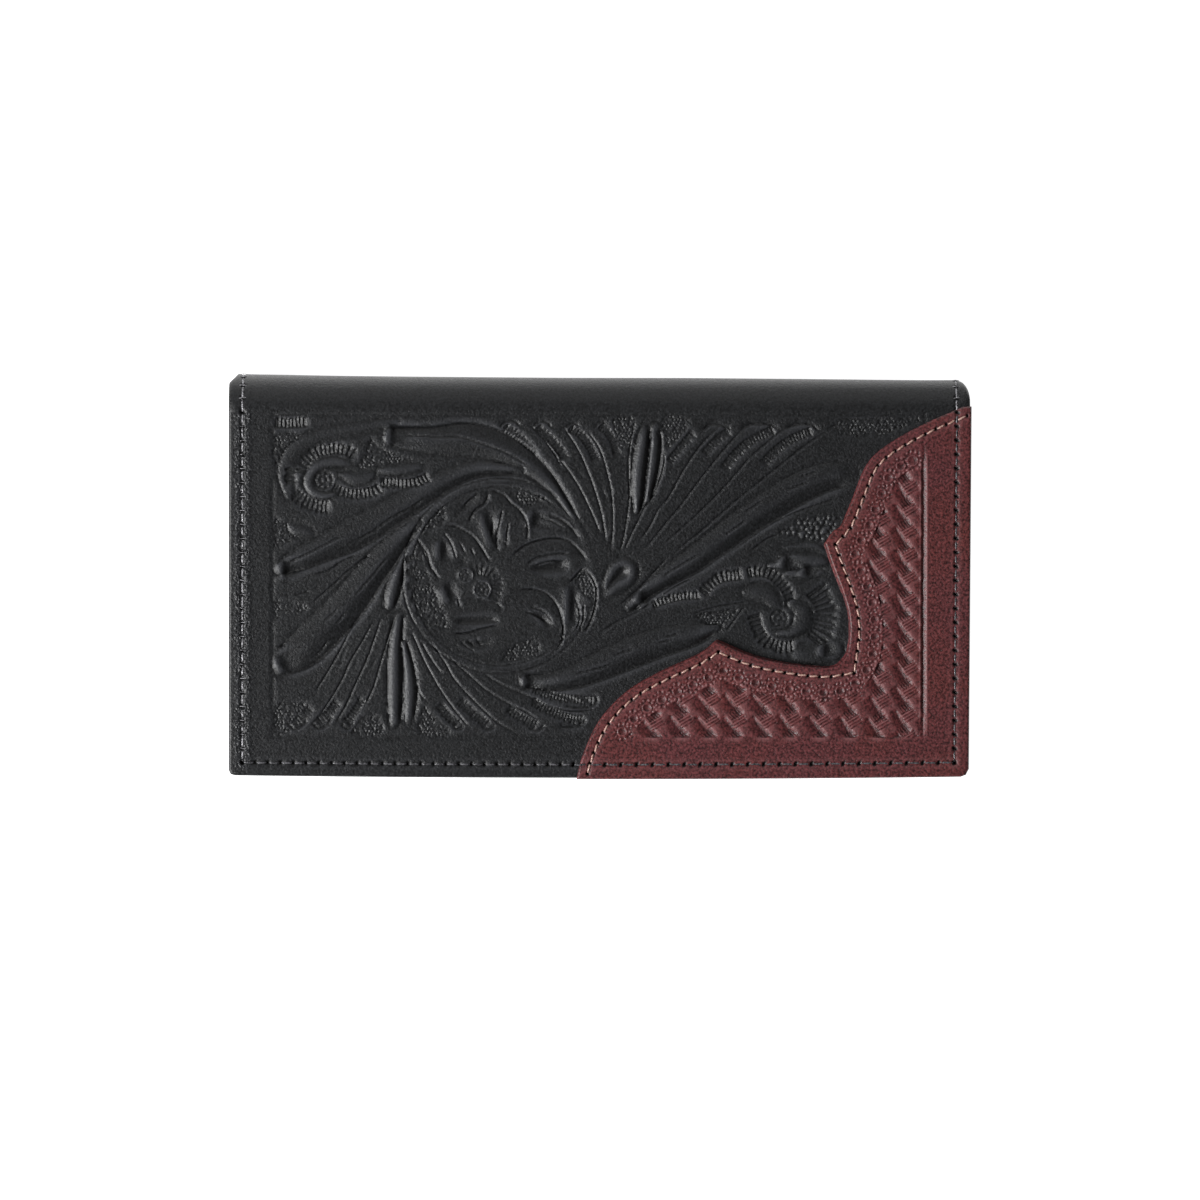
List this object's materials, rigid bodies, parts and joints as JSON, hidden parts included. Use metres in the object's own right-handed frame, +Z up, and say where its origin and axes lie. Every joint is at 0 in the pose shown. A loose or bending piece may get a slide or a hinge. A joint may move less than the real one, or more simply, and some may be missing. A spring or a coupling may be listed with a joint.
{
  "type": "long western wallet",
  "caption": "Long bifold western wallet with a tooled leather cover, a scalloped corner overlay, card pockets, a window pocket and a zip pocket.",
  "frame": {"origin": "centre of the closed wallet's footprint, on the outer face of the back cover that it lies on", "axes": "+X along the fold, towards the end that carries the corner overlay; +Y from the open edge towards the fold; +Z up from the back cover to the front cover"},
  "size_m": [0.1782, 0.0974, 0.0203],
  "materials": {
    "black_leather": "tooled and dyed, satin",
    "brown_leather": "basket stamped and dyed, satin",
    "inner_leather": "smooth, matte",
    "lining": "woven, matte",
    "clear_vinyl": "clear, glossy",
    "black_thread": "twisted, waxed",
    "tan_thread": "twisted, waxed",
    "zip_tape": "woven, matte",
    "zip_metal": "nickel plated"
  },
  "bodies": {
    "back": {"back_cover_leather": "black_leather", "back_seam_thread": "black_thread", "back_lining": "lining", "card_backing_panel": "inner_leather", "card_pocket_1": "inner_leather", "card_pocket_2": "inner_leather", "card_pocket_3": "inner_leather", "card_pocket_4": "inner_leather", "id_window_film": "clear_vinyl", "id_window_frame": "inner_leather"},
    "fold_low": {"fold_lower": "black_leather"},
    "fold_mid": {"fold_middle": "black_leather"},
    "fold_high": {"fold_upper": "black_leather"},
    "front": {"front_cover_leather": "black_leather", "front_seam_thread": "black_thread", "corner_overlay": "brown_leather", "overlay_edge_thread": "tan_thread", "overlay_seam_thread": "black_thread", "front_lining": "lining", "zip_pocket_back": "lining", "zip_pocket_gusset": "inner_leather", "zip_panel": "inner_leather", "slip_pocket_panel": "inner_leather", "zip_tape_fold_side": "zip_tape", "zip_tape_edge_side": "zip_tape", "zip_teeth_fold_side": "zip_metal", "zip_teeth_edge_side": "zip_metal", "zip_top_stop_fold_side": "zip_metal", "zip_top_stop_edge_side": "zip_metal", "zip_bottom_stop": "zip_metal"},
    "slider": {"zip_slider": "zip_metal"},
    "pull": {"zip_pull": "zip_metal"}
  },
  "joints": [
    {"name": "cover_fold", "type": "hinge", "parent": "back", "child": "fold_low", "pos_m": [0, 0.0432, 0], "axis": [-1, 0, 0], "range_deg": [0, 45]},
    {"name": "fold_2", "type": "hinge", "parent": "fold_low", "child": "fold_mid", "pos_m": [0, 0.04865, 0.00545], "axis": [-1, 0, 0], "range_deg": [0, 45]},
    {"name": "fold_3", "type": "hinge", "parent": "fold_mid", "child": "fold_high", "pos_m": [0, 0.04865, 0.01315], "axis": [-1, 0, 0], "range_deg": [0, 45]},
    {"name": "fold_4", "type": "hinge", "parent": "fold_high", "child": "front", "pos_m": [0, 0.0432, 0.0186], "axis": [-1, 0, 0], "range_deg": [0, 45]},
    {"name": "zip_slide", "type": "slide", "parent": "front", "child": "slider", "axis": [-1, 0, 0], "range_m": [0, 0.1358]},
    {"name": "pull_swing", "type": "hinge", "parent": "slider", "child": "pull", "pos_m": [0.06775, 0.0275, 0.0103], "axis": [0, -1, 0], "range_deg": [0, 90]}
  ],
  "couplings": [
    {"joint": "fold_2", "follows": "cover_fold", "ratio": 1},
    {"joint": "fold_3", "follows": "cover_fold", "ratio": 1},
    {"joint": "fold_4", "follows": "cover_fold", "ratio": 1},
    {"joint": "pull_swing", "follows": "cover_fold", "ratio": 2}
  ]
}
